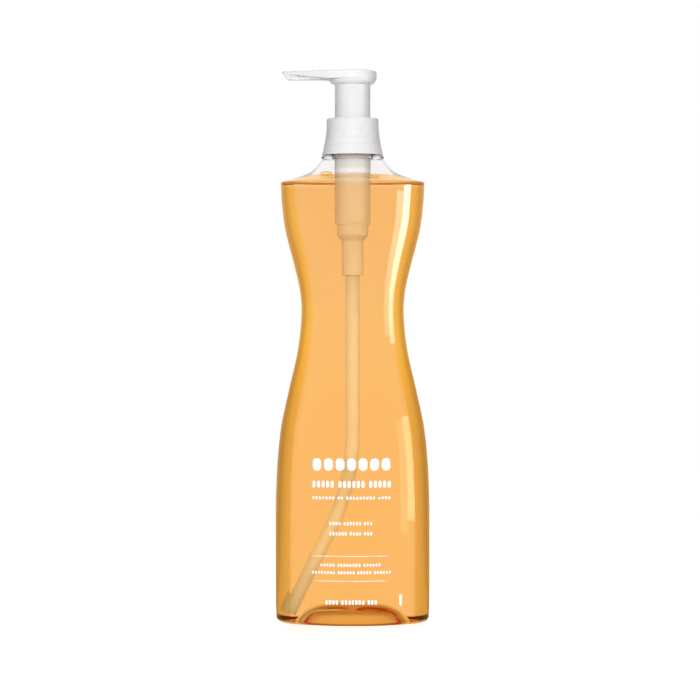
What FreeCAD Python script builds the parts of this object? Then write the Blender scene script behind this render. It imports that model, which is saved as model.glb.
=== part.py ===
import FreeCAD, Part
import math
import os

from FreeCAD import Vector

# Bottle: a clear blown body with a soft crease at each side of its front and back panels.
# Each station is a height with the half width and half depth of the body there.
body_stations = [
    (0.0, 37.3, 28.5),
    (34.0, 37.45, 28.7),
    (68.0, 37.0, 28.4),
    (92.0, 35.0, 26.9),
    (111.0, 31.1, 24.0),
    (130.0, 26.8, 21.1),
    (147.0, 25.0, 19.9),
    (158.0, 25.6, 20.3),
    (168.7, 27.9, 21.8),
    (188.0, 32.8, 25.1),
    (202.0, 34.5, 26.3),
    (211.0, 34.9, 26.6),
]
front_panel_angle = 34.0      # from the middle of a panel to the start of its crease, degrees
side_panel_angle = 50.0       # from the middle of a panel to the end of its crease, degrees
crease_radius = 5.0
outline_spacing = 9.0         # height between the outlines that the wall passes through
heel_radius = 2.4
shoulder_edge_radius = 0.9
# Shoulder: a concave trumpet, given as half width and height above the top station.
shoulder_stations = [
    (30.4, 1.0),
    (26.9, 1.9),
    (23.4, 2.9),
    (19.6, 4.9),
    (16.7, 7.9),
]
neck_root_radius = 14.3
shoulder_height = 10.9
bottle_wall = 0.7
base_wall = 1.2

# Push-up in the base: half width, half depth and height of each step, from the table up.
push_up_stations = [
    (24.5, 16.5, 0.0),
    (22.6, 14.8, 2.2),
    (19.4, 12.0, 5.6),
    (14.0, 8.4, 8.0),
    (6.0, 3.6, 9.2),
]

# Neck finish that the closure screws onto.
support_ring_radius = 14.95
support_ring_thickness = 1.2
neck_radius = 10.9
neck_bore_radius = 9.8
neck_height = 14.5            # from the top of the support ring to the mouth
thread_pitch = 3.175

# Soap fill.
soap_rise = 2.5               # of the level above the shoulder's edge
soap_gap = 0.15

# Closure: a tapered cap with a flared foot and a round hole for the pump's skirt.
closure_foot_gap = 0.6        # above the support ring
closure_foot_radius = 14.7
closure_flare_height = 11.3
closure_flare_sag = 0.25      # how far the flare bows in from a straight line
closure_mid_radius = 12.6
closure_top_radius = 12.35
closure_top_thickness = 1.4
closure_edge_radius = 0.7
closure_bore_radius = 12.05   # over the neck's thread
closure_upper_bore_radius = 11.35
closure_foot_wall = 1.1
skirt_clearance = 0.4

# Sealing washer between the bottle's mouth and the pump.
washer_thickness = 1.0
washer_inset = 0.2

# Pump body: a flanged cup in the neck, a chamber, a ball seat and a sleeve for the dip tube.
flange_thickness = 1.2
flange_radius = 10.9
cup_neck_gap = 0.3
cup_wall = 0.7
skirt_end_gap = 0.4           # under the skirt when the head is pressed home
collar_radius = 8.65          # below the cup, seen through the clear neck
collar_length = 9.5
chamber_radius = 7.5
chamber_bore_radius = 6.6
chamber_length = 29.8         # from the stem guide to the chamber's floor
chamber_floor = 1.0
valve_case_radius = 6.5
valve_case_length = 5.0
valve_pocket_radius = 4.9
valve_pocket_depth = 6.8
cone_length = 2.7
sleeve_radius = 4.5
sleeve_length = 16.5
seat_cone_height = 2.6
seat_hole_radius = 1.9
seat_hole_length = 1.2
rib_thickness = 0.9
rib_height = 1.2

# Stem guide, snapped into the pump body below the cup.
guide_radius = 7.7
guide_height = 3.8
guide_clearance = 0.05
guide_hole_clearance = 0.3

# Plunger: a hollow stem with a plug in its foot and a seal that slides a little on it.
stem_radius = 3.1
stem_bore_radius = 2.0
stem_slot_width = 1.4
stem_slot_height = 1.8
stem_slot_rise = 1.6
plug_disc_radius = 6.2
plug_disc_thickness = 1.1
plug_pin_length = 5.0
plug_notch_count = 4
plug_notch_width = 2.2
plug_pin_clearance = 0.03
seal_height = 5.0
seal_hub_radius = 4.6
seal_web_thickness = 1.4
seal_lip_thickness = 0.7
seal_lip_height = 4.4
seal_float = 0.8
seal_head_room = 0.5
running_clearance = 0.08
seat_clearance = 0.1

# Return spring, around the valve pocket.
spring_radius = 5.75
spring_wire = 0.9
spring_turns = 7

# Ball of the inlet valve.
ball_radius = 3.2
ball_lift = 1.2

# Dip tube: straight down, then one long bend towards the corner under the nozzle.
tube_radius = 3.0
tube_wall = 0.8
tube_corner_height = 65.5
tube_end_reach = 27.2
tube_end_gap = 3.6            # from the inside of the base to the middle of the tube's end
tube_bend_radius = 115.0

# Head that the hand presses: a thin drop-shaped plate with a spout, a bowl and a round skirt.
stroke = 14.0
head_rise = 22.7              # from the closure's top to the head's top
head_radius = 11.5
head_thickness = 4.0
head_tip_thickness = 1.3
head_edge_radius = 1.0
nozzle_reach = 34.0
nozzle_tip_radius = 3.6
nozzle_slant = 2.9            # how far the lower lip stands back from the upper one
nozzle_drop = 0.25            # of the upper lip below the top of the head
spout_depth = 4.3
spout_half_width = 3.0
spout_edge_radius = 1.2
spout_bore_radius = 1.2
spout_bore_drop = 2.4         # below the top of the head
bowl_inset = 0.3              # of the bowl's rim inside the plate's edge
bowl_bulge = 0.7
head_depth = 6.7              # from the head's top to the foot of the bowl
skirt_radius = 8.5
skirt_wall = 0.9
skirt_engagement = 1.2        # of the skirt in the closure's hole at rest
hub_radius = 4.4
hub_length = 10.9
hub_ceiling_gap = 0.1
hub_ceiling_web = 0.4
stem_outlet_radius = 1.9
socket_clearance = 0.05
tube_socket_clearance = 0.03

# Worked out from the sizes above.
body_top, body_top_width, body_top_depth = body_stations[-1]
neck_root_height = body_top + shoulder_height
soap_level = body_top + soap_rise
ring_top = neck_root_height + support_ring_thickness
mouth = ring_top + neck_height
closure_bottom = ring_top + closure_foot_gap
flange_bottom = mouth + washer_thickness
flange_top = flange_bottom + flange_thickness
closure_top = flange_top + closure_top_thickness
closure_hole_radius = skirt_radius + skirt_clearance
skirt_bottom = closure_top - skirt_engagement
cup_radius = neck_bore_radius - cup_neck_gap
cup_bore_radius = cup_radius - cup_wall
cup_floor = skirt_bottom - stroke - skirt_end_gap
guide_bottom = cup_floor - guide_height
guide_seat_radius = guide_radius + guide_clearance
cup_bottom = cup_floor - flange_thickness
collar_bottom = cup_bottom - collar_length
chamber_bottom = guide_bottom - chamber_length
valve_case_bottom = chamber_bottom - chamber_floor - valve_case_length
cone_bottom = valve_case_bottom - cone_length
sleeve_bottom = cone_bottom - sleeve_length
seat_bottom = chamber_bottom - valve_pocket_depth - seat_cone_height
tube_stop_height = seat_bottom - seat_hole_length
tube_end_height = base_wall + tube_end_gap
tube_bore_radius = tube_radius - tube_wall
seal_bottom = guide_bottom - seal_head_room - seal_float - seal_height
stem_bottom = seal_bottom - seat_clearance
plug_bottom = stem_bottom - plug_disc_thickness
head_top = closure_top + head_rise
bowl_bottom = head_top - head_depth
lip_top = head_top - nozzle_drop
lip_bottom = head_top - spout_depth
hub_bottom = bowl_bottom - hub_length
spout_axis = head_top - spout_bore_drop
stem_top = spout_axis - spout_bore_radius - hub_ceiling_web - hub_ceiling_gap
head_underside = head_top - head_thickness
seat_slope = math.atan2(valve_pocket_radius - seat_hole_radius, seat_cone_height)
ball_centre = seat_bottom - seat_hole_radius / math.tan(seat_slope) + ball_radius / math.sin(seat_slope)
ball_centre += seat_clearance
rib_bottom = ball_centre + ball_radius + ball_lift + seat_clearance


def section(half_width, half_depth, blend, height, inset=0.0):
    """Closed outline of eight arcs that meet with no corner: two panels, two sides and four creases."""
    a = math.radians(front_panel_angle)
    b = math.radians(side_panel_angle)
    # The panel and side radii follow from the two half sizes.
    wide = half_width - blend * (math.sin(b) - math.sin(a))
    deep = half_depth - blend * (math.cos(a) - math.cos(b))
    det = math.sin(a) * math.cos(b) - (1 - math.sin(b)) * (1 - math.cos(a))
    panel = (wide * math.cos(b) - deep * (1 - math.sin(b))) / det
    side = (deep * math.sin(a) - wide * (1 - math.cos(a))) / det
    panel_centre = (0.0, half_depth - panel)
    blend_centre = ((panel - blend) * math.sin(a), panel_centre[1] + (panel - blend) * math.cos(a))
    side_centre = (half_width - side, 0.0)

    def point(centre, radius, angle, sx, sy):
        x = centre[0] + (radius - inset) * math.sin(angle)
        y = centre[1] + (radius - inset) * math.cos(angle)
        return Vector(sx * x, sy * y, height)

    def arc(centre, radius, start, end, sx, sy):
        middle = point(centre, radius, (start + end) / 2, sx, sy)
        first = point(centre, radius, start, sx, sy)
        last = point(centre, radius, end, sx, sy)
        return Part.Arc(first, middle, last).toShape()

    right = math.pi / 2
    edges = [
        arc(panel_centre, panel, -a, a, 1, 1),
        arc(blend_centre, blend, a, b, 1, 1),
        arc(side_centre, side, b, 2 * right - b, 1, 1),
        arc(blend_centre, blend, b, a, 1, -1),
        arc(panel_centre, panel, a, -a, 1, -1),
        arc(blend_centre, blend, a, b, -1, -1),
        arc(side_centre, side, 2 * right - b, b, -1, 1),
        arc(blend_centre, blend, b, a, -1, 1),
    ]
    return Part.Wire(edges)


def loft(wires):
    return Part.makeLoft(wires, True, False)


def turned(points):
    """Solid of revolution about the vertical axis from (radius, height) points."""
    corners = [Vector(r, 0, z) for r, z in points]
    face = Part.Face(Part.makePolygon(corners + corners[:1]))
    return face.revolve(Vector(0, 0, 0), Vector(0, 0, 1), 360)


def tube(outer, inner, bottom, top):
    return turned([(inner, bottom), (outer, bottom), (outer, top), (inner, top)])


def rod(radius, bottom, top):
    return Part.makeCylinder(radius, top - bottom, Vector(0, 0, bottom))


def outline(half_width, half_depth, height, grow=0.0):
    """An outline whose crease is as round as its size allows, for the push-up."""
    return section(half_width, half_depth, 0.6 * half_depth, height, -grow)


def base_outline(height, inset):
    """The base station's outline at another height."""
    return section(body_stations[0][1], body_stations[0][2], crease_radius, height, inset)


def top_outline(inset):
    """The outline that the body and the shoulder share."""
    return section(body_top_width, body_top_depth, crease_radius, body_top - inset, inset)


def heel_wires(inset, floor):
    """Outlines of the rounded heel, a quarter round from the standing face up into the wall."""
    wires = []
    radius = heel_radius - inset
    for step in range(5):
        turn = math.radians(90) * step / 4
        height = floor + radius * (1 - math.cos(turn))
        wires.append(base_outline(height, inset + radius * (1 - math.sin(turn))))
    return wires


def body_slope(i, size):
    """How fast a size changes with height at station i, from the stations beside it."""
    low = body_stations[max(i - 1, 0)]
    high = body_stations[min(i + 1, len(body_stations) - 1)]
    return (high[size] - low[size]) / (high[0] - low[0])


def body_size(height, size):
    """Half width (size 1) or half depth (size 2) at a height, on a smooth cubic through the stations."""
    i = sum(1 for station in body_stations[1:-1] if station[0] < height)
    low = body_stations[i]
    high = body_stations[i + 1]
    span = high[0] - low[0]
    t = (height - low[0]) / span
    ends = low[size] * (2 * t**3 - 3 * t**2 + 1) + high[size] * (3 * t**2 - 2 * t**3)
    bends = body_slope(i, size) * (t**3 - 2 * t**2 + t) + body_slope(i + 1, size) * (t**3 - t**2)
    return ends + bends * span


def body_wires(inset, floor):
    """Evenly spaced outlines of the body from the top of the heel to the shoulder's edge."""
    start = floor + heel_radius - inset
    finish = body_top - inset
    count = round((finish - start) / outline_spacing)
    wires = [base_outline(start, inset)]
    for i in range(1, count):
        height = start + (finish - start) * i / count
        wires.append(section(body_size(height, 1), body_size(height, 2), crease_radius, height, inset))
    return wires + [top_outline(inset)]


def shoulder_wires(inset):
    """Outlines from the shoulder's edge to the neck's root, each moved inwards square to the surface."""
    stations = [(body_top_width, body_top)]
    stations += [(width, body_top + rise) for width, rise in shoulder_stations]
    stations += [(neck_root_radius, neck_root_height)]
    wires = [top_outline(inset)]
    for i, (width, height) in enumerate(stations[1:], 1):
        before = stations[i - 1]
        after = stations[min(i + 1, len(stations) - 1)]
        slope = math.atan2(after[1] - before[1], before[0] - after[0])
        share = (body_top_width - width) / (body_top_width - neck_root_radius)
        depth = body_top_depth + share * (neck_root_radius - body_top_depth)
        blend = crease_radius + share * (neck_root_radius - crease_radius)
        lowered = height - inset * math.cos(slope)
        wires.append(section(width, depth, blend, lowered, inset * math.sin(slope)))
    return wires


def bottle_form(inset, floor):
    """The bottle's body and shoulder as one solid, moved inwards by inset and standing on floor."""
    heel = loft(heel_wires(inset, floor))
    form = heel.fuse([loft(body_wires(inset, floor)), loft(shoulder_wires(inset))])
    top = body_top - inset
    rim = [e for e in form.Edges if abs(e.BoundBox.ZMin - top) < 0.01 and e.BoundBox.ZLength < 0.01]
    return form.makeFillet(shoulder_edge_radius, rim)


def push_up(grow, lift):
    """The recess in the base, grown by a wall and lifted by it."""
    return loft([outline(width, depth, height + lift, grow) for width, depth, height in push_up_stations])


def make_bottle():
    """Blown body with its heel, shoulder, push-up base, support ring and neck."""
    ring = rod(support_ring_radius, neck_root_height, ring_top)
    neck = rod(neck_radius, ring_top, mouth)
    outside = bottle_form(0.0, 0.0).fuse([ring, neck]).cut(push_up(0.0, 0.0))
    inside = bottle_form(bottle_wall, base_wall).cut(push_up(bottle_wall, base_wall))
    bore = rod(neck_bore_radius, body_top, mouth)
    return outside.cut(inside).cut(bore)


def tube_path(extra_top=0.0, extra_end=0.0):
    """Centre line of the dip tube: a straight run down, one long arc and a straight run to its end."""
    corner = Vector(0, 0, tube_corner_height)
    end = Vector(-tube_end_reach, 0, tube_end_height)
    down = Vector(0, 0, -1)
    away = (end - corner).normalize()
    half_turn = math.acos(down.dot(away)) / 2
    tangent = tube_bend_radius * math.tan(half_turn)
    start = corner - down * tangent
    finish = corner + away * tangent
    inward = (away - down).normalize()
    middle = corner + inward * (tube_bend_radius / math.cos(half_turn) - tube_bend_radius)
    top = Vector(0, 0, tube_stop_height + extra_top)
    edges = [
        Part.LineSegment(top, start).toShape(),
        Part.Arc(start, middle, finish).toShape(),
        Part.LineSegment(finish, end + away * extra_end).toShape(),
    ]
    return Part.Wire(edges)


def along_tube(radius, extra_top=0.0, extra_end=0.0):
    """A round bar that follows the dip tube's centre line."""
    path = tube_path(extra_top, extra_end)
    top = Vector(0, 0, tube_stop_height + extra_top)
    ring = Part.Wire(Part.Circle(top, Vector(0, 0, 1), radius).toShape())
    return path.makePipeShell([ring], True, False)


def make_dip_tube():
    return along_tube(tube_radius).cut(along_tube(tube_bore_radius))


def housing_outside(grow=0.0):
    """Outer profile of the pump body from its flange down to the sleeve, and the axis."""
    return [
        (flange_radius, flange_top),
        (flange_radius, flange_bottom),
        (cup_radius, flange_bottom),
        (cup_radius, cup_bottom),
        (collar_radius + grow, cup_bottom - cup_radius + collar_radius),
        (collar_radius + grow, collar_bottom - grow),
        (chamber_radius + grow, collar_bottom - collar_radius + chamber_radius - grow),
        (chamber_radius + grow, chamber_bottom - chamber_floor - grow),
        (valve_case_radius + grow, chamber_bottom - chamber_floor - grow),
        (valve_case_radius + grow, valve_case_bottom - grow),
        (sleeve_radius + grow, cone_bottom - grow),
        (sleeve_radius + grow, sleeve_bottom - grow),
    ]


def make_pump_housing():
    """Pump body with its cup, guide seat, chamber, ball seat, ball stop and dip-tube sleeve."""
    outside = turned(housing_outside() + [(0, sleeve_bottom), (0, flange_top)])
    seat_top = seat_bottom + seat_cone_height
    inside = turned([
        (0, flange_top),
        (cup_bore_radius, flange_top),
        (cup_bore_radius, cup_floor),
        (guide_seat_radius, cup_floor),
        (guide_seat_radius, guide_bottom),
        (chamber_bore_radius, guide_bottom),
        (chamber_bore_radius, chamber_bottom),
        (valve_pocket_radius, chamber_bottom),
        (valve_pocket_radius, seat_top),
        (seat_hole_radius, seat_bottom),
        (seat_hole_radius, tube_stop_height),
        (tube_radius + tube_socket_clearance, tube_stop_height),
        (tube_radius + tube_socket_clearance, sleeve_bottom),
        (0, sleeve_bottom),
    ])
    reach = valve_pocket_radius + rib_thickness / 2
    bar = Part.makeBox(2 * reach, rib_thickness, rib_height, Vector(-reach, -rib_thickness / 2, rib_bottom))
    cross = bar.copy()
    cross.rotate(Vector(0, 0, 0), Vector(0, 0, 1), 90)
    return outside.cut(inside).fuse([bar, cross])


def make_soap():
    """The fill up to its level, clear of the walls, round the pump body and inside the dip tube."""
    inset = bottle_wall + soap_gap
    floor = base_wall + soap_gap
    fill = bottle_form(inset, floor).cut(push_up(inset, floor))
    width = 2 * body_stations[1][1]
    above = Part.makeBox(width, width, soap_level, Vector(-width / 2, -width / 2, soap_level))
    pump = turned(housing_outside(soap_gap) + [(0, sleeve_bottom - soap_gap), (0, flange_top)])
    fill = fill.cut([above, pump, along_tube(tube_radius + soap_gap, 0.0, soap_gap)])
    return fill.fuse(along_tube(tube_bore_radius - soap_gap, -soap_gap, 2 * soap_gap))


def make_gasket():
    return tube(neck_radius - washer_inset, cup_radius + washer_inset, mouth, flange_bottom)


def make_closure():
    """Screw cap: a flared skirt over the neck and a top with a round hole for the pump."""
    flare_top = closure_bottom + closure_flare_height
    middle_radius = (closure_foot_radius + closure_mid_radius) / 2 - closure_flare_sag
    middle_height = (closure_bottom + flare_top) / 2
    foot = Vector(closure_foot_radius, 0, closure_bottom)
    waist = Vector(closure_mid_radius, 0, flare_top)
    flare = Part.Arc(foot, Vector(middle_radius, 0, middle_height), waist).toShape()
    points = [
        (closure_mid_radius, flare_top),
        (closure_top_radius, closure_top),
        (closure_hole_radius, closure_top),
        (closure_hole_radius, flange_top),
        (closure_upper_bore_radius, flange_top),
        (closure_upper_bore_radius, flare_top),
        (closure_bore_radius, flare_top - closure_bore_radius + closure_upper_bore_radius),
        (closure_bore_radius, middle_height),
        (closure_foot_radius - closure_foot_wall, closure_bottom),
        (closure_foot_radius, closure_bottom),
    ]
    corners = [Vector(r, 0, z) for r, z in points]
    face = Part.Face(Part.Wire([flare] + Part.makePolygon(corners).Edges))
    cap = face.revolve(Vector(0, 0, 0), Vector(0, 0, 1), 360)
    top_edges = [e for e in cap.Edges if abs(e.BoundBox.ZMin - closure_top) < 0.001]
    rim = [e for e in top_edges if e.BoundBox.XLength > 2 * closure_hole_radius + 1]
    return cap.makeFillet(closure_edge_radius, rim)


def make_stem_guide():
    return tube(guide_radius, stem_radius + guide_hole_clearance, guide_bottom, cup_floor)


def make_stem():
    """Hollow stem with two side slots behind the seal."""
    slot_bottom = stem_bottom + stem_slot_rise
    corner = Vector(-stem_radius - 1, -stem_slot_width / 2, slot_bottom)
    slot = Part.makeBox(2 * stem_radius + 2, stem_slot_width, stem_slot_height, corner)
    return tube(stem_radius, stem_bore_radius, stem_bottom, stem_top).cut(slot)


def make_outlet_plug():
    """Notched disc that carries the spring, with a pin up the stem's bore."""
    disc = rod(plug_disc_radius, plug_bottom, stem_bottom)
    pin_radius = stem_bore_radius - plug_pin_clearance
    corner = Vector(pin_radius - stem_slot_width / 2, -2 * pin_radius, stem_bottom)
    flat = Part.makeBox(stem_slot_width, 4 * pin_radius, plug_pin_length, corner)
    twin = flat.copy()
    twin.rotate(Vector(0, 0, 0), Vector(0, 0, 1), 180)
    pin = rod(pin_radius, stem_bottom, stem_bottom + plug_pin_length).cut([flat, twin])
    plug = disc.fuse(pin)
    for i in range(plug_notch_count):
        corner = Vector(seal_hub_radius, -plug_notch_width / 2, plug_bottom)
        notch = Part.makeBox(plug_disc_radius, plug_notch_width, plug_disc_thickness, corner)
        notch.rotate(Vector(0, 0, 0), Vector(0, 0, 1), 360.0 * i / plug_notch_count)
        plug = plug.cut(notch)
    return plug


def make_piston_seal():
    """Seal with a hub on the stem, a web and a thin lip that wipes the chamber above and below."""
    middle = seal_bottom + seal_height / 2
    outer = chamber_bore_radius - running_clearance
    inner = outer - seal_lip_thickness
    hub = tube(seal_hub_radius, stem_radius + running_clearance, seal_bottom, seal_bottom + seal_height)
    web = tube(inner + seal_lip_thickness / 2, seal_hub_radius - seal_lip_thickness / 2,
               middle - seal_web_thickness / 2, middle + seal_web_thickness / 2)
    lip = tube(outer, inner, middle - seal_lip_height / 2, middle + seal_lip_height / 2)
    return hub.fuse([web, lip])


def make_return_spring():
    """Open coil spring between the chamber's floor and the plug."""
    height = plug_bottom - chamber_bottom - 2 * seat_clearance - spring_wire
    helix = Part.makeHelix(height / spring_turns, height, spring_radius)
    ring = Part.Wire(Part.Circle(Vector(spring_radius, 0, 0), Vector(0, 1, 0), spring_wire / 2).toShape())
    coil = Part.Wire(helix).makePipeShell([ring], True, True)
    coil.translate(Vector(0, 0, chamber_bottom + seat_clearance + spring_wire / 2))
    return coil


def make_valve_ball():
    return Part.makeSphere(ball_radius, Vector(0, 0, ball_centre))


def drop_outline(back_radius, tip_radius, reach, height):
    """Plan of a drop: a round back on the axis and a round tip towards the nozzle, joined by tangents."""
    span = reach - tip_radius
    lean = math.asin((back_radius - tip_radius) / span)
    back = Vector(-back_radius * math.sin(lean), back_radius * math.cos(lean), height)
    tip = Vector(-span - tip_radius * math.sin(lean), tip_radius * math.cos(lean), height)
    back_low = Vector(back.x, -back.y, height)
    tip_low = Vector(tip.x, -tip.y, height)
    return Part.Wire([
        Part.Arc(back_low, Vector(back_radius, 0, height), back).toShape(),
        Part.LineSegment(back, tip).toShape(),
        Part.Arc(tip, Vector(-reach, 0, height), tip_low).toShape(),
        Part.LineSegment(tip_low, back_low).toShape(),
    ])


def side_cutter(points):
    """Prism across the whole head from (reach, height) points in side view."""
    corners = [Vector(-reach, -2 * head_radius, z) for reach, z in points]
    face = Part.Face(Part.makePolygon(corners + corners[:1]))
    return face.extrude(Vector(0, 4 * head_radius, 0))


def head_plate():
    """Thin drop-shaped plate whose top falls and whose underside rises towards the nozzle."""
    plan = Part.Face(drop_outline(head_radius, nozzle_tip_radius, nozzle_reach, head_underside))
    plate = plan.extrude(Vector(0, 0, head_thickness))
    plate = plate.cut(side_cutter([
        (0, head_top),
        (nozzle_reach + 1, lip_top),
        (nozzle_reach + 1, head_top + 1),
        (0, head_top + 1),
    ]))
    high = [e for e in plate.Edges if e.BoundBox.ZMin > lip_top - 0.1]
    plate = plate.makeFillet(head_edge_radius, [e for e in high if e.BoundBox.XLength > 0.01])
    return plate.cut(side_cutter([
        (head_radius, head_underside),
        (nozzle_reach + 1, lip_top - head_tip_thickness),
        (nozzle_reach + 1, head_underside - 1),
        (head_radius, head_underside - 1),
    ]))


def spout_bar():
    """Round-bottomed bar under the plate that carries the outlet channel to the nozzle."""
    height = spout_depth - 2 * head_edge_radius
    corner = Vector(-nozzle_reach, -spout_half_width, lip_bottom)
    bar = Part.makeBox(nozzle_reach, 2 * spout_half_width, height, corner)
    low = [e for e in bar.Edges if e.BoundBox.ZMax < lip_bottom + 0.01]
    return bar.makeFillet(spout_edge_radius, [e for e in low if e.BoundBox.YLength < 0.01])


def head_bowl():
    """Bowl that flares from the skirt out to the plate."""
    start = Vector(skirt_radius, 0, bowl_bottom)
    rim = Vector(head_radius - bowl_inset, 0, head_underside + bowl_inset)
    lean = (rim - start).normalize()
    middle = (start + rim) * 0.5 + Vector(lean.z, 0, -lean.x) * bowl_bulge
    flare = Part.Arc(start, middle, rim).toShape()
    top = lip_top - head_edge_radius
    corners = [rim, Vector(rim.x, 0, top), Vector(0, 0, top), Vector(0, 0, bowl_bottom), start]
    face = Part.Face(Part.Wire([flare] + Part.makePolygon(corners).Edges))
    return face.revolve(Vector(0, 0, 0), Vector(0, 0, 1), 360)


def make_actuator():
    """Head, spout, bowl, skirt and inner hub in one moulding, with its outlet channel."""
    skirt = rod(skirt_radius, skirt_bottom, bowl_bottom)
    body = head_bowl().fuse(skirt).fuse([head_plate(), spout_bar()])
    slope = nozzle_slant / (lip_top - lip_bottom)
    over = nozzle_reach + nozzle_tip_radius
    body = body.cut(side_cutter([
        (nozzle_reach, lip_top),
        (nozzle_reach, head_top + 1),
        (over, head_top + 1),
        (over, lip_bottom - 1),
        (nozzle_reach - nozzle_slant - slope, lip_bottom - 1),
    ]))
    well = tube(skirt_radius - skirt_wall, hub_radius, skirt_bottom, bowl_bottom)
    below_hub = rod(skirt_radius - skirt_wall, skirt_bottom, hub_bottom)
    socket = rod(stem_radius + socket_clearance, hub_bottom, stem_top + hub_ceiling_gap)
    outlet = rod(stem_outlet_radius, stem_top, spout_axis)
    inner_end = Vector(0, 0, spout_axis)
    channel = Part.makeCylinder(spout_bore_radius, nozzle_reach + 1, inner_end, Vector(-1, 0, 0))
    return body.cut([well, below_hub, socket, outlet, channel])


def write(name, shape):
    solids = shape.Solids
    part = solids[0] if len(solids) == 1 else Part.makeCompound(solids)
    part.exportStep("parts/" + name + ".step")
    box = part.BoundBox
    height = f"{box.ZMin:.2f} to {box.ZMax:.2f} mm high"
    print(f"{name}: {len(solids)} solid, valid {part.isValid()}, {part.Volume / 1000:.3f} mL, {height}")


os.makedirs("parts", exist_ok=True)
write("bottle", make_bottle())
write("soap", make_soap())
write("gasket", make_gasket())
write("closure", make_closure())
write("pump_housing", make_pump_housing())
write("stem_guide", make_stem_guide())
write("stem", make_stem())
write("outlet_plug", make_outlet_plug())
write("piston_seal", make_piston_seal())
write("return_spring", make_return_spring())
write("valve_ball", make_valve_ball())
write("dip_tube", make_dip_tube())
write("actuator", make_actuator())
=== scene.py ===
import math

import bpy
import numpy as np
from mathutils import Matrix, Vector


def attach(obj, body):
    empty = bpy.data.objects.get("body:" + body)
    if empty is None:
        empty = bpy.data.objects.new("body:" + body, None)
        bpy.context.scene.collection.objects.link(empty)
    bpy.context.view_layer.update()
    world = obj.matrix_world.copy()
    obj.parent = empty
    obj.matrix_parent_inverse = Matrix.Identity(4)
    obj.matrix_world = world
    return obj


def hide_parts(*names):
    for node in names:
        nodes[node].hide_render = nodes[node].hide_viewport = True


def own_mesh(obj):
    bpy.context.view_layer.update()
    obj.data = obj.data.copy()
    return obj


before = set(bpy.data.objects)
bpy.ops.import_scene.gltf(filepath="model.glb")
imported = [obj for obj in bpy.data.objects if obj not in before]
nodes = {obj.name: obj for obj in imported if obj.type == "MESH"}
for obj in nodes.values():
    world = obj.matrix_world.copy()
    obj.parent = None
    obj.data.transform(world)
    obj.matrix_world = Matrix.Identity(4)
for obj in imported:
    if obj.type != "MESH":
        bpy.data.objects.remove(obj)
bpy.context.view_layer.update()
print("frame loaded")

scene = bpy.context.scene
scene.view_settings.view_transform = "Standard"
scene.cycles.max_bounces = 24                # light that is caught in the liquid for a while still gets out
scene.cycles.glossy_bounces = 16
scene.cycles.transmission_bounces = 20
scene.cycles.transparent_max_bounces = 32
mm = 0.001


camera = {
    "place": (-1.25 * mm, -1.229, 148 * mm),
    "target": (-1.25 * mm, 0, 130.3 * mm),
    "lens": 131.7,
}


def placeCamera(spec):
    data = bpy.data.cameras.new("camera")
    data.lens = spec["lens"]
    data.sensor_width = 36
    data.clip_start = 0.02
    data.clip_end = 50
    holder = bpy.data.objects.new("camera", data)
    scene.collection.objects.link(holder)
    holder.location = spec["place"]
    aim = Vector(spec["target"]) - Vector(spec["place"])
    holder.rotation_euler = aim.to_track_quat("-Z", "Y").to_euler()
    scene.camera = holder


placeCamera(camera)


def newMaterial(name):
    material = bpy.data.materials.new(name)
    material.use_nodes = True
    material.node_tree.nodes.clear()
    return material, material.node_tree


def addNode(tree, kind, inputs=None, **settings):
    # inputs: socket name to a value, or to the output that feeds it
    node = tree.nodes.new(kind)
    for key, value in settings.items():
        setattr(node, key, value)
    for key, value in (inputs or {}).items():
        socket = node.inputs[key]
        if isinstance(value, bpy.types.NodeSocket):
            tree.links.new(value, socket)
        else:
            socket.default_value = value
    return node


def output(tree, surface, volume=None):
    end = addNode(tree, "ShaderNodeOutputMaterial", {"Surface": surface})
    if volume is not None:
        tree.links.new(volume, end.inputs["Volume"])


def objectNoise(tree, scale, detail=2.0, stretch=(1, 1, 1)):
    # noise over the piece's own coordinates; scale is in cycles per metre
    place = addNode(tree, "ShaderNodeTexCoord")
    mapping = addNode(tree, "ShaderNodeMapping", {"Vector": place.outputs["Object"], "Scale": stretch})
    noise = addNode(tree, "ShaderNodeTexNoise",
                    {"Vector": mapping.outputs["Vector"], "Scale": scale, "Detail": detail})
    return noise.outputs["Fac"]


def spread(tree, value, low, high):
    # maps 0..1 to low..high
    return addNode(tree, "ShaderNodeMapRange",
                   {"Value": value, "From Min": 0.25, "From Max": 0.75, "To Min": low, "To Max": high}).outputs["Result"]


def bumpFrom(tree, height, distance, strength=1.0):
    return addNode(tree, "ShaderNodeBump",
                   {"Height": height, "Distance": distance, "Strength": strength}).outputs["Normal"]


studio = {
    "floorHalf": 6.0,
    "floorColour": (0.80, 0.80, 0.80, 1),
    "floorLift": 0.56,           # light of the floor's own, for the camera alone
    "plainFrom": 0.30,           # from here to there the floor turns into the plain backdrop
    "plainTo": 0.70,
    "ambient": 0.10,
    "behind": 1.0,
    "sidesBent": 1.0,            # what the liquid bends into view at the sides
    "sidesMirrored": 0.60,
    "edgeFrom": 0.68,            # how far backwards a direction points where the white begins and is full
    "edgeTo": 0.90,
}


def roomLevel(tree, backward, path, spec, level):
    # reflections and refractions see white behind the bottle and darker sides and front
    for kind, sides in (("Is Transmission Ray", "sidesBent"), ("Is Glossy Ray", "sidesMirrored")):
        seen = addNode(tree, "ShaderNodeMapRange",
                       {"Value": backward, "From Min": spec["edgeFrom"], "From Max": spec["edgeTo"],
                        "To Min": spec[sides], "To Max": spec["behind"]},
                       interpolation_type="SMOOTHSTEP").outputs["Result"]
        level = addNode(tree, "ShaderNodeMix", {"Factor": path[kind], "A": level, "B": seen},
                        data_type="FLOAT").outputs["Result"]
    return level


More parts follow.
